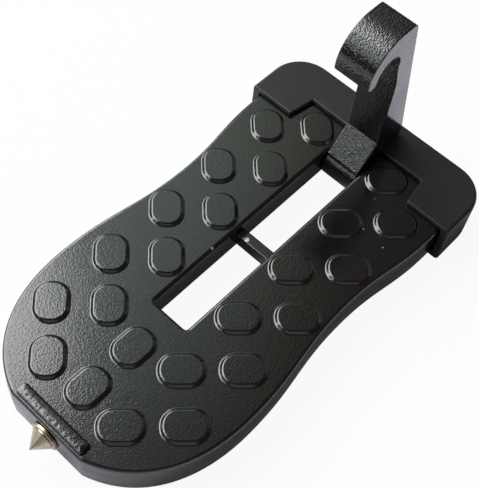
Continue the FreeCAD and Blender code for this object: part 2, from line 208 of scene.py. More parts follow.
class BumperSizes(PropertyGroup):
    """Sizes of the rubber bumper."""
    skin: length("Skin", "Rubber above the tread and below the rim", 1.9)
    reach: length("Reach", "Back wall to the front of the cap's sides", 20.0)
    corner: length("Corner", "Radius of the back corners", 12.0)
    edge_round: length("Edge round", "Radius along the top and bottom", 1.2)
    lip_round: length("Lip round", "Radius along the lips", 0.6)
    fit: length("Fit", "Room round the casting", 0.05)
    notch_half: length("Notch", "Half width of the notch at its inner edge", 22.8)
    notch_flare: length("Notch flare", "How much wider each side is at the front", 1.6)
    notch_reach: length("Notch place", "Back wall to the notch's edge", 10.1)


class TipSizes(PropertyGroup):
    """Sizes of the breaker tip."""
    radius: length("Radius", "Radius of the collar", 4.7)
    collar: length("Collar", "Thickness of the collar", 1.0)
    cone_radius: length("Cone foot", "Radius of the cone's foot", 3.7)
    groove: length("Groove", "Width of the groove before the cone", 0.3)
    chamfer: length("Chamfer", "Chamfer of the collar", 0.15)
    point: length("Point", "Radius of the blunted point", 0.15)
    shank: length("Shank", "Radius of the shank", 2.5)
    shank_length: length("Shank length", "Length of the shank", 8.0)


class Finishes(PropertyGroup):
    """Colours of the finishes."""
    plate: colour("Plate coat", "Powder coat on the casting", (0.0065, 0.0055, 0.0049))
    hook: colour("Hook coat", "Powder coat on the hook", (0.0058, 0.0047, 0.0044))
    rubber: colour("Rubber", "Moulded rubber of the bumper", (0.0117, 0.0121, 0.0117))
    nickel: colour("Nickel", "Plating of the breaker tip", (0.65, 0.56, 0.43))
    steel: colour("Steel", "Ground steel of the pin", (0.55, 0.55, 0.56))
    sawn: colour("Sawn metal", "Aluminium that shows through on the hook's sawn sides", (0.39, 0.38, 0.43))
    # This bare-metal colour serves a paint nick and also a painted highlight on the rest bar's end
    nick_and_highlight: colour("Bare metal", "Aluminium under a paint nick", (0.88, 0.88, 0.87))
    dust: colour("Dust", "Specks of dust on the coat", (0.65, 0.65, 0.62))


class StepSettings(PropertyGroup):
    """Everything that a user would change."""
    plate: PointerProperty(type=PlateSizes)
    pads: PointerProperty(type=PadSizes)
    hook: PointerProperty(type=HookSizes)
    bumper: PointerProperty(type=BumperSizes)
    tip: PointerProperty(type=TipSizes)
    finishes: PointerProperty(type=Finishes)


# Node trees

class Wire:
    """An output socket whose Python operators add Math nodes to its tree."""

    def __init__(self, graph, socket):
        self.graph = graph
        self.socket = socket

    def __add__(self, other):
        return self.graph.math("ADD", self, other)

    def __sub__(self, other):
        return self.graph.math("SUBTRACT", self, other)

    def __rsub__(self, other):
        return self.graph.math("SUBTRACT", other, self)

    def __mul__(self, other):
        return self.graph.math("MULTIPLY", self, other)

    def __truediv__(self, other):
        return self.graph.math("DIVIDE", self, other)

    def __abs__(self):
        return self.graph.math("ABSOLUTE", self)

    def __neg__(self):
        return self.graph.math("MULTIPLY", self, -1.0)


class Graph:
    """Adds nodes to one tree."""

    def __init__(self, tree):
        self.tree = tree

    def node(self, kind, settings=None, inputs=None, output=0):
        """A node with its settings, then its sockets' values or links; gives one of its outputs."""
        node = self.tree.nodes.new(kind)
        for name, value in (settings or {}).items():
            setattr(node, name, value)
        for key, value in (inputs or {}).items():
            if isinstance(value, Wire):
                self.tree.links.new(value.socket, node.inputs[key])
            else:
                node.inputs[key].default_value = value
        return Wire(self, node.outputs[output]) if node.outputs else node

    def math(self, operation, *operands):
        """Result of a Math node."""
        return self.node("ShaderNodeMath", {"operation": operation}, dict(enumerate(operands)))

    def mix(self, factor, first, second):
        """Colour between two colours."""
        ends = [end if isinstance(end, Wire) else opaque(end) for end in (first, second)]
        return self.node("ShaderNodeMix", {"data_type": "RGBA"}, {0: factor, 6: ends[0], 7: ends[1]}, 2)

    def varied(self, tone, rgb, low, high):
        """A colour that goes from a low to a high multiple of itself with a tone from 0 to 1."""
        return self.mix(tone, rgb * low, rgb * high)

    def vector(self, x, y, z):
        """Vector from three values."""
        return self.node("ShaderNodeCombineXYZ", None, {0: x, 1: y, 2: z})

    def axis(self, place, index):
        """One coordinate of a place."""
        return self.node("ShaderNodeSeparateXYZ", None, {0: place}, index)

    def coordinates(self, kind):
        """Texture coordinates of one kind."""
        return self.node("ShaderNodeTexCoord", output=kind)

    def noise(self, place, size, detail=2.0, roughness=0.5):
        """Soft noise with features of the given size."""
        inputs = {"Vector": place, "Scale": 1.0 / size, "Detail": detail, "Roughness": roughness}
        return self.node("ShaderNodeTexNoise", None, inputs)

    def cells(self, place, size, feature):
        """Distance to the nearest of scattered points that are about one size apart."""
        return self.node("ShaderNodeTexVoronoi", {"feature": feature}, {"Vector": place, "Scale": 1.0 / size})

    def bump(self, height, depth):
        """Normal of a surface that rises by depth where its height is 1."""
        return self.node("ShaderNodeBump", None, {"Strength": 1.0, "Distance": depth, "Height": height})

    def smooth(self, value, low, high):
        """0 below low, 1 above high, with a soft step between."""
        settings = {"interpolation_type": "SMOOTHSTEP"}
        return self.node("ShaderNodeMapRange", settings, {"Value": value, 1: low, 2: high, 3: 0.0, 4: 1.0})

    def ramp(self, value, stops):
        """Colour from a value by a row of stops."""
        node = self.tree.nodes.new("ShaderNodeValToRGB")
        self.tree.links.new(value.socket, node.inputs["Fac"])
        elements = node.color_ramp.elements
        while len(elements) < len(stops):
            elements.new(0.5)
        for element, (place, rgb) in zip(elements, stops):
            element.position = place
            element.color = opaque(rgb)
        return Wire(self, node.outputs["Color"])

    def ray(self, kind):
        """1 for rays of one kind, 0 for others."""
        return self.node("ShaderNodeLightPath", output=kind)


def opaque(rgb):
    """Colour with full alpha."""
    return (rgb[0], rgb[1], rgb[2], 1.0)


def new_material(name):
    """Empty node material and its graph."""
    material = bpy.data.materials.new(name)
    material.use_nodes = True
    material.node_tree.nodes.clear()
    return material, Graph(material.node_tree)


def surface(graph, inputs):
    """Principled shader as the material's surface."""
    shader = graph.node("ShaderNodeBsdfPrincipled", None, inputs)
    graph.node("ShaderNodeOutputMaterial", None, {"Surface": shader})


# Finishes

COAT_SHINE = 1.0
RUBBER_SHINE = 0.47


def bare_spot(graph, place, ragged, centre, radius):
    """1 inside a small ragged spot of bare-metal colour, 0 outside it; it draws a paint nick and a painted
    highlight.
    """
    away = graph.node("ShaderNodeVectorMath", {"operation": "DISTANCE"}, {0: place, 1: centre}, 1)
    return 1.0 - graph.smooth(away + ragged * radius, radius * 1.3, radius * 1.6)


def plate_coat(finishes):
    """Glossy black powder coat with orange peel, dust specks, a hammered toe ridge, a paint nick, and a
    painted highlight in bare-metal colour on the rest bar's end.
    """
    grain_size = 0.36 * MM
    peel_size = 0.62 * MM
    dent_size = 1.6 * MM
    skin_depth = 0.03 * MM
    cloud_size = 24.0 * MM
    speck_spacing = 9.0 * MM
    crown_starts = plate_high.z - 0.5 * MM
    crown_full = plate_high.z - 0.3 * MM
    nick_place = Vector((-7.07 * MM, -0.2 * MM, RIM_Z + 12.3 * MM))
    nick_radius = 0.5 * MM
    # Painted highlight: a bright bare-metal spot on the rest bar's left end, where its hollow reflects the
    # window
    highlight_place = Vector((-3.7 * MM, 12.1 * MM, RIM_Z + 7.5 * MM))
    highlight_radius = 0.8 * MM

    material, graph = new_material("plate_coat")
    place = graph.coordinates("Object")
    grain = graph.noise(place, grain_size, 1.0)
    peel = grain * 0.8 - graph.cells(place, peel_size, "SMOOTH_F1") * 0.6
    crown = graph.smooth(graph.axis(place, 2), crown_starts, crown_full)
    dents = crown * graph.noise(place, dent_size, 1.0)
    cloud = graph.noise(place, cloud_size, 3.0)
    dust = 1.0 - graph.smooth(graph.cells(place, speck_spacing, "F1"), 0.012, 0.03)
    nick = bare_spot(graph, place, grain, nick_place, nick_radius)
    # Painted highlight on the rest bar's end, drawn as a bare-metal spot
    painted_highlight = bare_spot(graph, place, grain, highlight_place, highlight_radius)
    nick_and_highlight = nick + painted_highlight
    base = graph.varied(cloud, finishes.plate, 0.8, 1.2)
    base = graph.mix(dust * 0.8, base, finishes.dust)
    surface(graph, {
        "Base Color": graph.mix(nick_and_highlight, base, finishes.nick_and_highlight),
        "Metallic": nick_and_highlight * 0.8,
        "Roughness": cloud * 0.06 + 0.06 + dust * 0.4 + nick_and_highlight * 0.3,
        "Specular IOR Level": COAT_SHINE,
        "Normal": graph.bump(peel + dents * 3.0, skin_depth),
    })
    return material


def hook_coat(finishes):
    """The same coat on the hook, coarser, over the slanting lines that the saw left on both sides."""
    line_slant = math.radians(31.0)
    line_pitch = 1.95 * MM
    wander_size = 6.0 * MM
    worn_size = 9.0 * MM
    grain_size = 0.8 * MM
    skin_depth = 0.085 * MM
    cloud_size = 16.0 * MM

    material, graph = new_material("hook_coat")
    place = graph.coordinates("Object")
    sawn = graph.smooth(abs(graph.axis(graph.coordinates("Normal"), 0)), 0.9, 0.98)
    across = graph.axis(place, 1) * math.cos(line_slant) - graph.axis(place, 2) * math.sin(line_slant)
    wander = graph.noise(place, wander_size, 1.0) * 3.0
    ripple = graph.math("SINE", across * (2 * math.pi / line_pitch) + wander) * 0.5 + 0.5
    worn = graph.smooth(graph.noise(place, worn_size), 0.3, 0.6)
    lines = ripple * (worn * 0.5 + 0.5) * sawn
    grain = graph.noise(place, grain_size, 1.0) + graph.noise(place, grain_size / 2, 0.0) * 0.5
    height = grain * (1.0 - sawn * 0.9) + lines * 0.6
    cloud = graph.noise(place, cloud_size, 3.0)
    base = graph.varied(cloud, finishes.hook, 0.7, 1.3)
    surface(graph, {
        "Base Color": graph.mix(lines * 0.04, base, finishes.sawn),
        "Metallic": lines * 0.1,
        "Coat Weight": lines,
        "Coat Roughness": 0.12,
        "Coat IOR": 1.59,
        "Roughness": cloud * 0.08 + 0.08,
        "Specular IOR Level": COAT_SHINE,
        "Normal": graph.bump(height, skin_depth),
    })
    return material


def bumper_rubber(finishes):
    """Matte moulded rubber with a fine grain and pale handling marks."""
    grain_size = 0.35 * MM
    grain_depth = 0.02 * MM
    mark_size = 11.0 * MM

    material, graph = new_material("bumper_rubber")
    place = graph.coordinates("Object")
    marks = graph.noise(place, mark_size, 4.0, 0.6)
    surface(graph, {
        "Base Color": graph.varied(marks, finishes.rubber, 0.7, 1.3),
        "Roughness": marks * 0.15 + 0.38,
        "Specular IOR Level": RUBBER_SHINE,
        "Normal": graph.bump(graph.noise(place, grain_size), grain_depth),
    })
    return material


def turned_nickel(finishes):
    """Bright plating over turning marks that run round the tip's axis."""
    ring_size = 0.25 * MM
    ring_depth = 0.02 * MM
    stain_size = 2.5 * MM

    material, graph = new_material("turned_nickel")
    place = graph.coordinates("Object")
    rings = graph.noise(graph.vector(0.0, graph.axis(place, 1), 0.0), ring_size)
    stain = graph.noise(place, stain_size, 3.0)
    surface(graph, {
        "Base Color": graph.varied(stain, finishes.nickel, 0.75, 1.0),
        "Metallic": 1.0,
        "Roughness": stain * 0.15 + 0.26,
        "Normal": graph.bump(rings, ring_depth),
    })
    return material


def ground_steel(finishes):
    """Ground steel with fine lines round the pin."""
    line_size = 0.2 * MM
    line_depth = 0.01 * MM

    material, graph = new_material("ground_steel")
    place = graph.coordinates("Object")
    lines = graph.noise(graph.vector(graph.axis(place, 0), 0.0, 0.0), line_size)
    surface(graph, {
        "Base Color": graph.varied(lines, finishes.steel, 0.85, 1.0),
        "Metallic": 1.0,
        "Roughness": lines * 0.15 + 0.25,
        "Normal": graph.bump(lines, line_depth),
    })
    return material


# Mesh tools

OVER = 1.0 * MM             # how far a cutter or a joined piece reaches past a face
WELD_DISTANCE = 0.002 * MM
SLIVER = 0.001 * MM


def quarter(steps):
    """Angles from nought to a right angle."""
    return [math.pi / 2 * index / steps for index in range(steps + 1)]


def round_over(radius, steps):
    """A rounded edge as pairs, the first going from nought to the radius and the second back to nought."""
    return [(radius * (1 - math.cos(bend)), radius * (1 - math.sin(bend))) for bend in quarter(steps)]


def circle(radius, segments):
    """A circle as pairs, once round."""
    bends = [2 * math.pi * index / segments for index in range(segments)]
    return [(radius * math.cos(bend), radius * math.sin(bend)) for bend in bends]


def turn_to(direction, axis="Z"):
    """Matrix that turns an axis to a direction."""
    return direction.to_track_quat(axis, "Y").to_matrix()


def solid(name, rings):
    """Closed object with a skin through rings of equal length and flat ends."""
    work = bmesh.new()
    rows = [[work.verts.new(point) for point in ring] for ring in rings]
    for low, high in zip(rows, rows[1:]):
        for index in range(len(low)):
            work.faces.new((low[index - 1], low[index], high[index], high[index - 1]))
    work.faces.new(reversed(rows[0]))
    work.faces.new(rows[-1])
    bmesh.ops.recalc_face_normals(work, faces=work.faces)
    mesh = bpy.data.meshes.new(name)
    work.to_mesh(mesh)
    work.free()
    item = bpy.data.objects.new(name, mesh)
    bpy.context.scene.collection.objects.link(item)
    return item


def rounded_rectangle(half, y0, y1, radius, z, steps=6):
    """Rectangle about the step's length with rounded corners, once round."""
    points = []
    corners = [(half - radius, y1 - radius), (radius - half, y1 - radius),
               (radius - half, y0 + radius), (half - radius, y0 + radius)]
    for turns, (x, y) in enumerate(corners):
        for step in quarter(steps):
            bend = step + turns * math.pi / 2
            points.append(Vector((x + radius * math.cos(bend), y + radius * math.sin(bend), z)))
    return points


def block(name, low, high):
    """Plain block between two corners, for cutting and joining."""
    rings = []
    for z in (low.z, high.z):
        rings.append([Vector((low.x, low.y, z)), Vector((high.x, low.y, z)),
                      Vector((high.x, high.y, z)), Vector((low.x, high.y, z))])
    return solid(name, rings)


def rod(name, start, end, radius, segments=48):
    """Round bar between two points."""
    turn = turn_to(end - start)
    edge = [turn @ Vector((x, y, 0)) for x, y in circle(radius, segments)]
    return solid(name, [[start + point for point in edge], [end + point for point in edge]])


def settle(item):
    """Turn an object's modifiers into its own mesh."""
    bpy.context.view_layer.update()
    seen = item.evaluated_get(bpy.context.evaluated_depsgraph_get())
    mesh = bpy.data.meshes.new_from_object(seen)
    if not mesh.polygons:
        raise RuntimeError(item.name + " came out with no faces")
    item.modifiers.clear()
    old = item.data
    item.data = mesh
    bpy.data.meshes.remove(old)


def carve(item, operation, *tools):
    """Cut from an object, or join to it, each of the tools, which are used up."""
    for tool in tools:
        modifier = item.modifiers.new("Carve", "BOOLEAN")
        modifier.operation = operation
        modifier.solver = "MANIFOLD"
        modifier.object = tool
        settle(item)
        bpy.data.objects.remove(tool)
    return item


def flatten(item, limit=math.radians(0.4)):
    """Merge what a cut left split: double points and faces that lie in one plane."""
    work = bmesh.new()
    work.from_mesh(item.data)
    bmesh.ops.remove_doubles(work, verts=work.verts, dist=WELD_DISTANCE)
    bmesh.ops.dissolve_degenerate(work, edges=work.edges, dist=SLIVER)
    bmesh.ops.dissolve_limit(work, angle_limit=limit, verts=work.verts, edges=work.edges)
    work.to_mesh(item.data)
    work.free()


def shade(item, sharp=32.0):
    """Smooth shading that keeps flat faces flat and creases above an angle sharp."""
    for face in item.data.polygons:
        face.use_smooth = True
    item.data.set_sharp_from_angle(angle=math.radians(sharp))
    modifier = item.modifiers.new("Even normals", "WEIGHTED_NORMAL")
    modifier.keep_sharp = True
    settle(item)


def dress(item, name, material, body, node):
    """Shade and name a finished piece, give it its finish and its place in the frame."""
    shade(item)
    item.name = name
    item.data.name = name
    item.data.materials.clear()
    item.data.materials.append(material)
    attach(item, body)
    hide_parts(node)


# Casting

# Points along the stretches of the outline
FLAT_STEPS = 8
TOE_POINTS = 40
BALL_POINTS = 26
WAIST_POINTS = 22
HEEL_STEPS = 12
BACK_STEPS = 6


def plate_outline(sizes, inset, z):
    """Foot-shaped outline of the casting, drawn in by inset, once round from the middle of the toe."""
    span = BACK_Y - TOE_Y
    shoulder = Vector((math.cos(sizes.toe_corner), math.sin(sizes.toe_corner), 0))
    along = Vector((0, 1, 0))
    toe_end = Vector((sizes.toe_flat_half - inset * math.tan(sizes.toe_corner / 2), TOE_Y + inset, z))
    ball = Vector((sizes.ball_half - inset, TOE_Y + sizes.ball_share * span, z))
    waist = Vector((sizes.waist_half - inset, TOE_Y + sizes.waist_share * span, z))
    heel = Vector((sizes.heel_half - inset, BACK_Y - sizes.heel_from_back, z))
    corner = sizes.heel_corner - inset
    centre = Vector((heel.x - corner, BACK_Y - inset - corner, z))
    pull_in = along * sizes.side_pull * (waist.y - ball.y)
    pull_out = along * sizes.side_pull * (heel.y - waist.y)
    toe_pull = toe_end + shoulder * sizes.toe_reach
    side = [Vector((toe_end.x * index / FLAT_STEPS, toe_end.y, z)) for index in range(FLAT_STEPS)]
    side += interpolate_bezier(toe_end, toe_pull, ball - along * sizes.ball_reach, ball, TOE_POINTS)
    side += interpolate_bezier(ball, ball + pull_in, waist - pull_in, waist, BALL_POINTS)[1:]
    side += interpolate_bezier(waist, waist + pull_out, heel - pull_out, heel, WAIST_POINTS)[1:]
    for bend in quarter(HEEL_STEPS):
        side.append(centre + Vector((corner * math.cos(bend), corner * math.sin(bend), 0)))
    for index in reversed(range(BACK_STEPS)):
        side.append(Vector((centre.x * index / BACK_STEPS, BACK_Y - inset, z)))
    other = [Vector((-point.x, point.y, z)) for point in reversed(side[1:-1])]
    return side + other


def plate_body(sizes):
    """Block of the casting: rounded foot, walls leaning both ways from the parting line, round tread edge."""
    tread_z = RIM_Z + sizes.height
    parting_z = RIM_Z + sizes.height / 2
    crisp = 0.12 * MM           # distance of the rows that keep an edge crisp

    def wall(z):
        return sizes.draft * abs(z - parting_z) / (sizes.height / 2), z

    levels = [(sizes.draft + inset, RIM_Z + rise) for rise, inset in round_over(sizes.foot_round, 4)]
    levels += [wall(RIM_Z + sizes.foot_round + crisp), wall(parting_z - 2 * crisp), wall(parting_z - crisp)]
    levels.append((-sizes.flash, parting_z))
    top_z = tread_z - sizes.tread_round - crisp
    levels += [wall(parting_z + crisp), wall(parting_z + 2 * crisp), wall(top_z)]
    levels += [(sizes.draft + inset, tread_z - drop) for inset, drop in round_over(sizes.tread_round, 7)]
    return solid("casting", [plate_outline(sizes, inset, z) for inset, z in levels])


def underside_cells(sizes):
    """Hollows under the tread, between rim, ribs, slot walls and bosses."""
    tread_z = RIM_Z + sizes.height
    ceiling_z = tread_z - sizes.tread_skin
    roof_z = ceiling_z + OVER
    foot_z = tread_z - sizes.rib_depth
    hollow = solid("cells", [plate_outline(sizes, sizes.rim_wall, z) for z in (RIM_Z - OVER, ceiling_z)])
    grow = sizes.slot_wall
    radius = sizes.slot_corner + grow / 2
    y0 = TOE_Y + sizes.slot_from_toe - grow
    y1 = HINGE.y + sizes.slot_end + grow
    keep = [solid("slot walls", [rounded_rectangle(sizes.slot_half + grow, y0, y1, radius, z)
                                 for z in (foot_z, roof_z)])]
    reach = sizes.ball_half + sizes.heel_half
    half = sizes.rib_thickness / 2
    count = int((HINGE.y - TOE_Y - sizes.rib_pitch / 2) / sizes.rib_pitch)
    for index in range(count):
        y = TOE_Y + sizes.rib_pitch * (index + 1)
        keep.append(block("rib", Vector((-reach, y - half, foot_z)), Vector((reach, y + half, roof_z))))
    boss = (pin_high.z - pin_low.z) / 2 + sizes.boss_wall
    end = Vector((sizes.slot_half + sizes.slot_wall + sizes.boss_length, 0, 0))
    keep.append(rod("pin boss", HINGE - end, HINGE + end, boss))
    low = Vector((-end.x, HINGE.y - boss, HINGE.z))
    keep.append(block("pin web", low, Vector((end.x, HINGE.y + boss, roof_z))))
    front = TOE_Y + sizes.rim_wall / 2
    back = front + sizes.tip_boss_length
    wide = sizes.tip_boss_radius
    keep.append(rod("tip boss", Vector((0, front, TIP_AXIS_Z)), Vector((0, back, TIP_AXIS_Z)), wide))
    keep.append(block("tip web", Vector((-wide, front, TIP_AXIS_Z)), Vector((wide, back, roof_z))))
    return carve(hollow, "DIFFERENCE", *keep)


def slot_cutter(sizes):
    """Cutter for the slot, flared at the top to round the slot's edge."""
    tread_z = RIM_Z + sizes.height
    y0 = TOE_Y + sizes.slot_from_toe
    y1 = HINGE.y + sizes.slot_end

    def ring(grow, z):
        return rounded_rectangle(sizes.slot_half + grow, y0 - grow, y1 + grow, sizes.slot_corner + grow, z)

    rings = [ring(0, RIM_Z - OVER)]
    rings += [ring(grow, tread_z - drop) for grow, drop in round_over(sizes.slot_round, 7)]
    rings.append(ring(sizes.slot_round, tread_z + OVER))
    return solid("slot", rings)


def rest_bar(sizes):
    """Bar across the slot, rounded on top and hollowed up to the slot's walls at its ends."""
    y1 = HINGE.y - sizes.bar_from_hinge
    y0 = y1 - sizes.bar_width
    tread_z = RIM_Z + sizes.height
    foot = tread_z - sizes.rib_depth
    hollow = sizes.bar_end_round
    start = sizes.slot_half - hollow
    places = [(0.0, 0.0)]
    for bend in quarter(8):
        places.append((start + hollow * math.sin(bend), hollow * (1 - math.cos(bend))))
    places.append((sizes.slot_half + sizes.slot_wall / 2, hollow))
    stations = [(-x, rise) for x, rise in reversed(places[1:])] + places
    edge = round_over(sizes.bar_edge_round, 5)
    rings = []
    for x, rise in stations:
        top = tread_z - sizes.bar_drop + rise
        ring = [Vector((x, y0, foot)), Vector((x, y1, foot))]
        ring += [Vector((x, y1 - inset, top - drop)) for inset, drop in edge]
        ring += [Vector((x, y0 + inset, top - drop)) for inset, drop in reversed(edge)]
        rings.append(ring)
    return solid("rest bar", rings)


def toe_ridge(sizes):
    """Low bar across the toe, set back from the round edge, with steep front, bevelled back, soft crown."""
    tread_z = RIM_Z + sizes.height
    crown_z = tread_z + sizes.ridge_height
    front = TOE_Y + sizes.draft + sizes.ridge_setback
    back = TOE_Y + sizes.draft + sizes.ridge_width
    bevel = sizes.ridge_bevel
    edge = sizes.ridge_round
    lean = 0.2 * bevel          # how far the steep front leans back
    corner = 1.4 * bevel
    least_corner = 0.2 * corner
    dome_reach = sizes.ridge_width / 4
    dome_steps = 5
    levels = [(0, 0, tread_z - sizes.tread_round), (lean / 2, 0, tread_z + 0.2 * edge)]
    for inset, drop in round_over(edge, 6):
        levels.append((lean + inset, bevel - edge + inset, crown_z - drop - sizes.ridge_dome))
    for index in range(1, dome_steps + 1):
        along = index / dome_steps
        inset = along * dome_reach
        rise = sizes.ridge_dome * (1 - (1 - along) ** 2)
        levels.append((lean + edge + inset, bevel + inset, crown_z - sizes.ridge_dome + rise))
    rings = []
    for near, inset, z in levels:
        radius = max(least_corner, corner - inset)
        rings.append(rounded_rectangle(sizes.ridge_half - inset, front + near, back - inset, radius, z))
    return solid("toe ridge", rings)


# Pads

PAD_CORNER_SHARE = 0.95     # most that a corner's radius takes of a pad's half width
SOCKET_TYPES = {float: "NodeSocketFloat", int: "NodeSocketInt", bpy.types.Material: "NodeSocketMaterial"}


def pad_shape(sizes):
    """One pad at the origin: a disc with two flats, a bevel, a soft crown edge and a hollow foot."""
    slope = math.atan2(sizes.height, sizes.bevel)
    half_tan = math.tan(slope / 2)
    sunk = 0.01 * MM
    root = 0.5 * MM
    steps = 4
    foot = sizes.foot_round
    crown = sizes.crown_round
    bends = [slope * index / steps for index in range(steps + 1)]
    profile = [(-foot * half_tan - sunk, -root)]
    for bend in bends:
        profile.append((foot * (math.sin(bend) - half_tan), foot * (1 - math.cos(bend)) - sunk))
    for bend in reversed(bends):
        profile.append((sizes.bevel + crown * (half_tan - math.sin(bend)),
                        sizes.height - crown * (1 - math.cos(bend)) - sunk))
    return solid("pad", [pad_ring(sizes, shrink, z) for shrink, z in profile])


def pad_ring(sizes, shrink, z):
    """Outline of a pad, drawn in by shrink: two arcs and two flats along Y, with rounded corners."""
    corner_steps = 12
    arc_steps = 5
    full_corner = min(sizes.corner_round, PAD_CORNER_SHARE * sizes.across_flats / 2)
    corner = full_corner - shrink
    core = sizes.diameter / 2 - full_corner
    corner_x = sizes.across_flats / 2 - full_corner
    start = math.acos(corner_x / core)
    corner_y = core * math.sin(start)
    bends = [start * index / corner_steps for index in range(corner_steps + 1)]

    def at(x, y, radius, bend):
        return Vector((x + radius * math.cos(bend), y + radius * math.sin(bend), z))

    half = [at(corner_x, corner_y, corner, bend) for bend in bends]
    for index in range(1, arc_steps):
        half.append(at(0, 0, core + corner, start + (math.pi - 2 * start) * index / arc_steps))
    half += [at(-corner_x, corner_y, corner, math.pi - start + bend) for bend in bends]
    return half + [Vector((-point.x, -point.y, z)) for point in half]


def pad_tree(values):
    """Geometry nodes that repeat one pad: mirrored columns on both sides and a short row along the middle."""
    tree = bpy.data.node_groups.new("pad columns", "GeometryNodeTree")
    tree.interface.new_socket("Geometry", in_out="INPUT", socket_type="NodeSocketGeometry")
    for name, value in values.items():
        tree.interface.new_socket(name, in_out="INPUT", socket_type=SOCKET_TYPES[type(value)])
    tree.interface.new_socket("Geometry", in_out="OUTPUT", socket_type="NodeSocketGeometry")
    graph = Graph(tree)
    source = tree.nodes.new("NodeGroupInput")
    given = {socket.name: Wire(graph, socket) for socket in source.outputs if socket.name}

    def column(x, first, pitch, count, turn):
        points = graph.node("GeometryNodeMeshLine", {"mode": "OFFSET"}, {
            "Count": count,
            "Start Location": graph.vector(x, first, given["Tread height"]),
            "Offset": graph.vector(0.0, pitch, 0.0),
        })
        return graph.node("GeometryNodeInstanceOnPoints", None, {
            "Points": points,
            "Instance": given["Geometry"],
            "Rotation": graph.vector(0.0, 0.0, turn),
        })

    outer_first = given["First"] + given["Stagger"]
    columns = [column(0.0, given["Centre first"], given["Centre pitch"], given["Centre count"], 0.0)]
    for x, first, count in ((given["Inner"], given["First"], given["Inner count"]),
                            (given["Outer"], outer_first, given["Outer count"])):
        columns.append(column(x, first, given["Pitch"], count, -given["Turn"]))
        columns.append(column(-x, first, given["Pitch"], count, given["Turn"]))
    join = tree.nodes.new("GeometryNodeJoinGeometry")
    for item in columns:
        tree.links.new(item.socket, join.inputs[0])
    real = graph.node("GeometryNodeRealizeInstances", None, {0: Wire(graph, join.outputs[0])})
    done = graph.node("GeometryNodeSetMaterial", None, {"Geometry": real, "Material": given["Material"]})
    graph.node("NodeGroupOutput", None, {0: done})
    return tree


def pads(sizes, tread_z, material):
    """All the pads as one mesh, repeated by geometry nodes."""
    item = pad_shape(sizes)
    values = {
        "Tread height": tread_z, "Pitch": sizes.pitch, "First": TOE_Y + sizes.first, "Stagger": sizes.stagger,
        "Inner": sizes.inner, "Outer": sizes.outer, "Centre first": TOE_Y + sizes.centre_first,
        "Centre pitch": sizes.centre_pitch, "Turn": sizes.turn, "Inner count": sizes.inner_count,
        "Outer count": sizes.outer_count, "Centre count": sizes.centre_count, "Material": material,
    }
    modifier = item.modifiers.new("Pads", "NODES")
    modifier.node_group = pad_tree(values)
    for socket in modifier.node_group.interface.items_tree:
        if socket.in_out == "INPUT" and socket.name in values:
            modifier[socket.identifier] = values[socket.name]
    settle(item)
    return item


# Hook

BEND_STEP = math.radians(5)     # turn between two points of a rounded corner


def rounded_profile(corners):
    """Points of a profile from (y, z, radius) corners, each rounded to its radius."""
    points = []
    count = len(corners)
    for index, (y, z, radius) in enumerate(corners):
        here = Vector((y, z))
        if radius == 0:
            points.append(here)
            continue
        to_last = (Vector(corners[index - 1][:2]) - here).normalized()
        to_next = (Vector(corners[(index + 1) % count][:2]) - here).normalized()
        half = to_last.angle(to_next) / 2
        centre = here + (to_last + to_next).normalized() * radius / math.sin(half)
        start = here + to_last * radius / math.tan(half) - centre
        sweep = start.angle_signed(here + to_next * radius / math.tan(half) - centre)
        steps = max(3, round(abs(sweep) / BEND_STEP))
        for step in range(steps + 1):
            points.append(centre + Matrix.Rotation(-sweep * step / steps, 2) @ start)
    return points


def hook_profile(sizes):
    """Side view of the hook as (y, z) points from the axis: barrel, foot, arm, throat, nose and heel."""
    nose_front = sizes.throat_front + sizes.nose
    arm_throat = sizes.throat_width - sizes.throat_front
    blade = rounded_profile([
        (sizes.neck_rear, sizes.heel_rise, sizes.neck_radius),
        (sizes.heel_rear, sizes.heel_rise, sizes.heel_radius),
        (sizes.top_rear, sizes.top, sizes.rear_radius),
        (-nose_front, sizes.top, sizes.outer_radius),
        (-nose_front, sizes.nose_tip, sizes.nose_radius),
        (-sizes.throat_front, sizes.nose_tip, sizes.nose_radius),
        (-sizes.throat_front, sizes.throat_top, sizes.throat_radius),
        (arm_throat, sizes.throat_top, sizes.throat_radius),
        (arm_throat, sizes.arm_lean, sizes.arm_bend),
        (sizes.arm_front, sizes.arm_straight, sizes.arm_bend),
        (sizes.arm_front, sizes.foot_top, sizes.foot_round),
        (-sizes.foot_reach, sizes.foot_rise, sizes.foot_round),
        (-sizes.foot_reach, 0.0, 0.0),
        (sizes.neck_rear, 0.0, 0.0),
    ])[:-2]
    first = math.pi - math.acos(sizes.foot_reach / sizes.barrel)
    last = 2 * math.pi + math.acos(sizes.neck_rear / sizes.barrel)
    steps = 48
    barrel = []
    for index in range(steps + 1):
        bend = first + (last - first) * index / steps
        barrel.append(Vector((sizes.barrel * math.cos(bend), sizes.barrel * math.sin(bend))))
    return blade + barrel


def inset_profile(points, depth):
    """The profile drawn in by depth along its normals."""
    sharpest = 0.4              # keeps points at sharp corners from running away
    moved = []
    count = len(points)
    for index, point in enumerate(points):
        into = (point - points[index - 1]).normalized()
        out = (points[(index + 1) % count] - point).normalized()
        normal = Vector((-into.y - out.y, into.x + out.x)).normalized()
        moved.append(point + normal * depth / max(sharpest, normal.dot(Vector((-out.y, out.x)))))
    return moved


def hook_solid(sizes):
    """The hook: its profile sawn to width, with softened edges and the bore for the pin."""
    outline = hook_profile(sizes)
    half = sizes.width / 2
    edge = round_over(sizes.edge_round, 4)
    levels = [(along - half, inset) for along, inset in edge]
    levels += [(half - along, inset) for along, inset in reversed(edge)]
    rings = []
    for x, inset in levels:
        rings.append([Vector((x, point.x, point.y)) + HINGE for point in inset_profile(outline, inset)])
    reach = Vector((sizes.width, 0, 0))
    bore = rod("bore", HINGE - reach, HINGE + reach, sizes.bore, 64)
    return carve(solid("hook", rings), "DIFFERENCE", bore)


# Bumper and tip

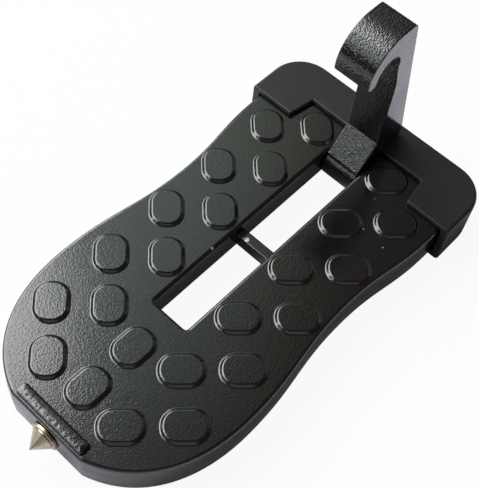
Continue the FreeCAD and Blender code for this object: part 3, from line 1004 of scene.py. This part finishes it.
def bumper_solid(sizes, plate):
    """Rubber cap: rounded block, open to the front, notched above and below, hollow for the casting."""
    half = bumper_high.x
    back = bumper_high.y
    top = bumper_high.z
    front = BACK_Y - sizes.reach
    corner = sizes.corner
    over = 2.0 * MM
    lip_angle = math.radians(50)
    levels = [(inset, z) for z, inset in round_over(sizes.edge_round, 6)]
    levels += [(inset, top - z) for inset, z in reversed(levels)]
    rings = []
    for inset, z in levels:
        rings.append(rounded_rectangle(half - inset, front - corner, back - inset, corner - inset, z, 12))
    cap = solid("bumper", rings)
    open_front = block("front", Vector((-half - over, front - 2 * corner, -over)),
                       Vector((half + over, front, top + over)))
    notch_y = BACK_Y - sizes.notch_reach
    flare = sizes.notch_half + sizes.notch_flare * (notch_y - front + over) / (notch_y - front)
    rings = []
    for z in (-over, top + over):
        rings.append([Vector((-flare, front - over, z)), Vector((flare, front - over, z)),
                      Vector((sizes.notch_half, notch_y, z)), Vector((-sizes.notch_half, notch_y, z))])
    notch = solid("notch", rings)
    low = sizes.skin - sizes.fit
    high = top - sizes.skin + sizes.fit
    room = solid("room", [plate_outline(plate, -sizes.fit, z) for z in (low, high)])
    carve(cap, "DIFFERENCE", open_front, notch, room)
    flatten(cap)
    modifier = cap.modifiers.new("Lips", "BEVEL")
    modifier.limit_method = "ANGLE"
    modifier.angle_limit = lip_angle
    modifier.width = sizes.lip_round
    modifier.segments = 3
    settle(cap)
    return cap


def tip_solid(sizes):
    """Turned tip: shank, chamfered collar, groove and cone, spun about its axis."""
    seat = tip_high.y - sizes.shank_length
    face = TOE_Y - sizes.collar
    neck = sizes.cone_radius - sizes.groove
    foot = face - sizes.groove
    bevelled = sizes.radius - sizes.chamfer
    cone_start = foot - sizes.chamfer
    cone_steps = 8
    segments = 72
    profile = [
        (sizes.shank, tip_high.y),
        (sizes.shank, seat),
        (bevelled, seat),
        (sizes.radius, seat - sizes.chamfer),
        (sizes.radius, face + sizes.chamfer),
        (bevelled, face),
        (neck, face),
        (neck, foot),
        (sizes.cone_radius - sizes.chamfer, foot),
    ]
    for index in range(cone_steps + 1):
        along = index / cone_steps
        radius = sizes.cone_radius * (1 - along) + sizes.point * along
        profile.append((radius, cone_start * (1 - along) + tip_low.y * along))
    rings = []
    for radius, y in profile:
        rings.append([Vector((x, y, TIP_AXIS_Z + z)) for x, z in circle(radius, segments)])
    return solid("tip", rings)


# Stage

CAMERA_PLACE = Vector((0.090305, -0.121884, 0.265710))
CAMERA_TARGET = Vector((-0.003800, 0.008694, 0.0105))
CAMERA_ROLL = math.radians(8.317)
CAMERA_LENS = 72.46
CAMERA_SENSOR = 36.0
CAMERA_NEAR = 0.01
WINDOW_TURN = math.radians(190.0)
WINDOW_AWAY = 0.5
WINDOW_SILL = 0.17
WINDOW_SIZE = (0.78, 1.23)
WINDOW_POWER = 13.0
FRONT_AWAY = 0.6
FRONT_LAMPS = (             # name, turn and rise in degrees, size, power
    ("high front", -122.0, 44.0, (0.12, 0.08), 0.092),
    ("low front", -109.0, 29.0, (0.07, 0.03), 0.05),
)
FLOOR_HALF = 0.3
FLOOR_THICK = 0.002
FLOOR_DIM = (0.75, 0.73, 0.82)
FLOOR_BRIGHT = (0.77, 0.75, 0.84)
FLOOR_BLOTCH = 0.5
WHITE = (1.0, 1.0, 1.0)

# The room's tones, from straight across from the window to the window's own side
ROOM_LIGHT = 1.77
ROOM_TONES = [
    (0.10, (0.036, 0.028, 0.025)),
    (0.26, (0.046, 0.039, 0.036)),
    (0.38, (0.19, 0.22, 0.19)),
    (0.46, (0.39, 0.45, 0.38)),
    (0.62, (0.51, 0.66, 0.65)),
    (0.80, (0.76, 0.83, 0.80)),
]
DARK_TONE = (0.016, 0.010, 0.0085)
DARK_OVERHEAD = [(0.83, 0.0), (0.915, 0.56), (0.94, 0.76), (1.0, 0.96)]
GLOW_TONE = (0.22, 0.22, 0.23)
GLOWS = ((math.radians(-52.0), 0.72), (math.radians(82.0), 0.85))

# How much plain white rays see. Mirrored rays get little, as the photograph's coat mirrors a dim room
FLOOR_SEEN = 0.93
FLOOR_MIRRORED = 0.04
ROOM_SEEN = 1.0
ROOM_MIRRORED = 0.03


def white_share(graph, seen, mirrored):
    """Share of plain white for rays from the camera or through glass, and for mirrored rays."""
    straight = graph.ray("Is Camera Ray") + graph.ray("Is Transmission Ray")
    return straight * seen + graph.ray("Is Glossy Ray") * mirrored


def floor_white():
    """White floor that shows as white and keeps a soft shadow."""
    material, graph = new_material("floor_white")
    tone = graph.noise(graph.coordinates("Object"), FLOOR_BLOTCH, 1.0)
    matte = graph.node("ShaderNodeBsdfDiffuse", None, {"Color": graph.mix(tone, FLOOR_DIM, FLOOR_BRIGHT)})
    white = graph.node("ShaderNodeEmission", None, {"Color": opaque(WHITE), "Strength": 1.0})
    seen = white_share(graph, FLOOR_SEEN, FLOOR_MIRRORED)
    mixed = graph.node("ShaderNodeMixShader", None, {0: seen, 1: matte, 2: white})
    graph.node("ShaderNodeOutputMaterial", None, {"Surface": mixed})
    return material


def studio_world(scene):
    """Dark room with soft daylight from the window's side that fades round both ways and overhead."""
    world = bpy.data.worlds.new("studio")
    world.use_nodes = True
    world.node_tree.nodes.clear()
    graph = Graph(world.node_tree)
    direction = graph.coordinates("Generated")
    x, y, z = (graph.axis(direction, index) for index in range(3))
    level = graph.math("SQRT", 1.001 - z * z)

    def toward(turn):
        return (x * math.cos(turn) + y * math.sin(turn)) / level

    round_room = graph.ramp(toward(WINDOW_TURN), ROOM_TONES)
    overhead = graph.ramp(z, [(height, (value, value, value)) for height, value in DARK_OVERHEAD])
    tone = graph.mix(overhead, round_room, DARK_TONE)
    tone = graph.mix(graph.smooth(z, 0.05, 0.6), DARK_TONE, tone)
    low = graph.smooth(z, 0.0, 0.15) * (1.0 - graph.smooth(z, 0.45, 0.7))
    first, second = (graph.smooth(toward(turn), inner, 1.0) for turn, inner in GLOWS)
    tone = graph.mix((first + second) * low, tone, GLOW_TONE)
    soft = graph.node("ShaderNodeBackground", None, {"Color": tone, "Strength": ROOM_LIGHT})
    white = graph.node("ShaderNodeBackground", None, {"Color": opaque(WHITE), "Strength": 1.0})
    seen = white_share(graph, ROOM_SEEN, ROOM_MIRRORED)
    mixed = graph.node("ShaderNodeMixShader", None, {0: seen, 1: soft, 2: white})
    graph.node("ShaderNodeOutputWorld", None, {"Surface": mixed})
    scene.world = world


def add_lamp(name, place, facing, size, power):
    """Soft rectangular lamp at a place, turned to shine along a direction."""
    data = bpy.data.lights.new(name, "AREA")
    data.shape = "RECTANGLE"
    data.size, data.size_y = size
    data.energy = power
    lamp = bpy.data.objects.new(name, data)
    lamp.matrix_world = Matrix.Translation(place) @ turn_to(facing, "-Z").to_4x4()
    bpy.context.scene.collection.objects.link(lamp)


def add_lamps():
    """A tall upright window at the left and two small lamps in front, one high and one low."""
    side = Vector((math.cos(WINDOW_TURN), math.sin(WINDOW_TURN), 0))
    middle = side * WINDOW_AWAY + Vector((0, 0, WINDOW_SILL + WINDOW_SIZE[1] / 2))
    add_lamp("window", middle, -side, WINDOW_SIZE, WINDOW_POWER)
    for name, turn, rise, size, power in FRONT_LAMPS:
        lift = Matrix.Rotation(math.radians(-rise), 3, "Y")
        way = Matrix.Rotation(math.radians(turn), 3, "Z") @ lift @ Vector((1, 0, 0))
        add_lamp(name, way * FRONT_AWAY, -way, size, power)


def add_camera(scene):
    """Camera at the photograph's angle, rolled as it was held."""
    data = bpy.data.cameras.new("camera")
    data.lens = CAMERA_LENS
    data.sensor_width = CAMERA_SENSOR
    data.clip_start = CAMERA_NEAR
    camera = bpy.data.objects.new("camera", data)
    turned = turn_to(CAMERA_TARGET - CAMERA_PLACE, "-Z") @ Matrix.Rotation(CAMERA_ROLL, 3, "Z")
    camera.matrix_world = Matrix.Translation(CAMERA_PLACE) @ turned.to_4x4()
    scene.collection.objects.link(camera)
    scene.camera = camera


# Operators

class BuildPlate(Operator):
    """Build the casting with its pads, slot and underside"""
    bl_idname = "latch_step.plate"
    bl_label = "Step plate"

    def execute(self, context):
        settings = context.scene.latch_step
        sizes = settings.plate
        coat = plate_coat(settings.finishes)
        item = plate_body(sizes)
        carve(item, "DIFFERENCE", underside_cells(sizes), slot_cutter(sizes))
        tread_z = RIM_Z + sizes.height
        carve(item, "UNION", rest_bar(sizes), toe_ridge(sizes), pads(settings.pads, tread_z, coat))
        over = 2.0 * MM
        pin = (pin_high.z - pin_low.z) / 2 + sizes.bore_fit
        pin_start = Vector((pin_low.x, HINGE.y, HINGE.z))
        pin_out = Vector((sizes.heel_half + over, HINGE.y, HINGE.z))
        tip_out = Vector((0, TOE_Y - over, TIP_AXIS_Z))
        tip_end = Vector((0, tip_high.y, TIP_AXIS_Z))
        collar_seat = Vector((0, TOE_Y + sizes.draft, TIP_AXIS_Z))
        carve(item, "DIFFERENCE",
              rod("pin bore", pin_start, pin_out, pin),
              rod("tip bore", tip_out, tip_end, settings.tip.shank + sizes.bore_fit),
              rod("spot face", tip_out, collar_seat, settings.tip.radius + sizes.bore_fit))
        flatten(item)
        dress(item, "plate_casting", coat, "step", "step_plate")
        return {"FINISHED"}


class BuildHook(Operator):
    """Build the folding hook"""
    bl_idname = "latch_step.hook"
    bl_label = "Folding hook"

    def execute(self, context):
        settings = context.scene.latch_step
        item = hook_solid(settings.hook)
        dress(item, "folding_hook", hook_coat(settings.finishes), "hook", "hook")
        return {"FINISHED"}


class BuildBumper(Operator):
    """Build the rubber bumper"""
    bl_idname = "latch_step.bumper"
    bl_label = "Rubber bumper"

    def execute(self, context):
        settings = context.scene.latch_step
        item = bumper_solid(settings.bumper, settings.plate)
        dress(item, "rubber_bumper", bumper_rubber(settings.finishes), "step", "bumper")
        return {"FINISHED"}


class BuildTip(Operator):
    """Build the breaker tip"""
    bl_idname = "latch_step.tip"
    bl_label = "Breaker tip"

    def execute(self, context):
        settings = context.scene.latch_step
        item = tip_solid(settings.tip)
        dress(item, "turned_tip", turned_nickel(settings.finishes), "step", "breaker_tip")
        return {"FINISHED"}


class FinishPin(Operator):
    """Give the hinge pin its ground steel"""
    bl_idname = "latch_step.pin"
    bl_label = "Hinge pin"

    def execute(self, context):
        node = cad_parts["hinge_pin"]
        node.data.materials.clear()
        node.data.materials.append(ground_steel(context.scene.latch_step.finishes))
        return {"FINISHED"}


class BuildStage(Operator):
    """Set up the floor, the studio light and the camera"""
    bl_idname = "latch_step.stage"
    bl_label = "Studio stage"

    def execute(self, context):
        scene = context.scene
        scene.view_settings.view_transform = "Standard"
        corner = Vector((FLOOR_HALF, FLOOR_HALF, 0))
        floor = block("floor", -corner - Vector((0, 0, FLOOR_THICK)), corner)
        floor.data.materials.append(floor_white())
        studio_world(scene)
        add_lamps()
        add_camera(scene)
        return {"FINISHED"}


# Panel and registration

OPERATORS = (BuildPlate, BuildHook, BuildBumper, BuildTip, FinishPin, BuildStage)
GROUPS = (PlateSizes, PadSizes, HookSizes, BumperSizes, TipSizes, Finishes, StepSettings)


class StepPanel(Panel):
    """Sidebar panel with the sizes, the colours and a button for each piece"""
    bl_idname = "VIEW3D_PT_latch_step"
    bl_label = "Latch step"
    bl_space_type = "VIEW_3D"
    bl_region_type = "UI"
    bl_category = "Latch step"

    def draw(self, context):
        for operator in OPERATORS:
            self.layout.operator(operator.bl_idname)
        for piece in StepSettings.__annotations__:
            group = getattr(context.scene.latch_step, piece)
            column = self.layout.column(align=True)
            for name in group.__annotations__:
                column.prop(group, name)


CLASSES = GROUPS + OPERATORS + (StepPanel,)


def register():
    """Make the classes known to Blender."""
    for item in CLASSES:
        bpy.utils.register_class(item)
    bpy.types.Scene.latch_step = PointerProperty(type=StepSettings)


def unregister():
    """Take the classes out again."""
    del bpy.types.Scene.latch_step
    for item in reversed(CLASSES):
        bpy.utils.unregister_class(item)


def main():
    """Build every piece and the stage."""
    register()
    bpy.ops.latch_step.plate()
    bpy.ops.latch_step.hook()
    bpy.ops.latch_step.bumper()
    bpy.ops.latch_step.tip()
    bpy.ops.latch_step.pin()
    bpy.ops.latch_step.stage()


if __name__ == "__main__":
    main()
